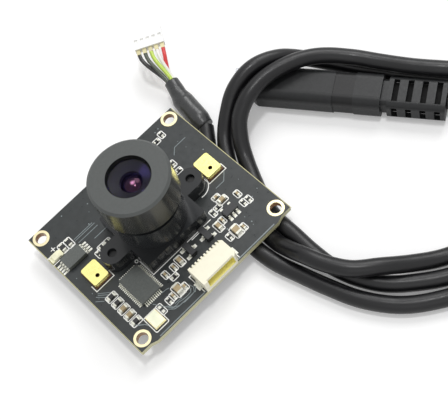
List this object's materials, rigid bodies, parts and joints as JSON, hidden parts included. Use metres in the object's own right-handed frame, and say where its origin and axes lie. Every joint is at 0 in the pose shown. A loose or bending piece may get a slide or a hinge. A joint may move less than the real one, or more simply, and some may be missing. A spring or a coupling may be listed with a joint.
{
  "type": "camera module",
  "caption": "Board-level camera with a screw-in lens in a moulded holder, microphones, a side-entry cable socket and its own looped lead with a small plug.",
  "frame": {"origin": "centre of the four mounting holes, on the underside of the circuit board", "axes": "+Z out of the lens, square to the board; +X along the longer hole spacing, towards the side where the lead lies; the cable socket's mouth faces -Y"},
  "size_m": [0.0849, 0.0903, 0.0236],
  "materials": {
    "solder_mask": "satin charcoal coating over glass fibre",
    "gold": "thin gold plating",
    "holder_plastic": "black moulded plastic with a soft sheen",
    "screw_steel": "darkened steel",
    "lens_metal": "matte black anodised",
    "coated_glass": "purple and blue anti-reflection coating",
    "clear_glass": "polished",
    "filter_glass": "polished, faint cyan",
    "chip_ceramic": "dark ceramic",
    "silicon": "polished silicon",
    "mic_gold": "bright gold plated can",
    "mic_base": "brown laminate",
    "chip_epoxy": "moulded epoxy",
    "tinned_leads": "tin plated",
    "crystal_metal": "pale nickel lid",
    "capacitor_ceramic": "fired ceramic",
    "resistor_film": "black glaze",
    "led_white": "milky resin",
    "socket_nylon": "ivory nylon",
    "cable_jacket": "smooth black vinyl",
    "sleeve_black": "shrunk tubing",
    "wire_black": "vinyl insulation",
    "wire_grey": "vinyl insulation",
    "wire_green": "vinyl insulation",
    "wire_white": "vinyl insulation",
    "wire_red": "vinyl insulation",
    "crimp_metal": "tinned bronze",
    "plug_nylon": "natural white nylon",
    "plug_vinyl": "satin black moulding",
    "shell_steel": "nickel plated",
    "insert_plastic": "black insert"
  },
  "bodies": {
    "root": {"circuit_board": "solder_mask", "mounting_rings": "gold", "lens_holder": "holder_plastic", "holder_screws": "screw_steel", "ir_filter": "filter_glass", "lens_barrel": "lens_metal", "front_lens": "coated_glass", "aperture_stop": "lens_metal", "middle_lens": "clear_glass", "lens_spacer": "lens_metal", "rear_lens": "clear_glass", "lens_retaining_ring": "lens_metal", "sensor_package": "chip_ceramic", "sensor_die": "silicon", "sensor_glass": "clear_glass", "microphone_bases": "mic_base", "microphone_cans": "mic_gold", "processor": "chip_epoxy", "processor_leads": "tinned_leads", "flash_memory": "chip_epoxy", "flash_leads": "tinned_leads", "crystal_base": "gold", "crystal_lid": "crystal_metal", "regulator": "chip_epoxy", "regulator_leads": "tinned_leads", "transistors": "chip_epoxy", "transistor_leads": "tinned_leads", "capacitors": "capacitor_ceramic", "resistors": "resistor_film", "chip_ends": "tinned_leads", "status_led": "led_white", "cable_socket": "socket_nylon", "socket_contacts": "gold", "socket_tabs": "tinned_leads", "usb_cable": "cable_jacket", "heat_shrink_sleeve": "sleeve_black", "wire_black": "wire_black", "wire_grey": "wire_grey", "wire_green": "wire_green", "wire_white": "wire_white", "wire_red": "wire_red", "crimp_terminals": "crimp_metal", "wire_plug": "plug_nylon", "usb_plug": "plug_vinyl", "usb_shell": "shell_steel", "usb_insert": "insert_plastic", "usb_contacts": "gold"}
  },
  "joints": []
}
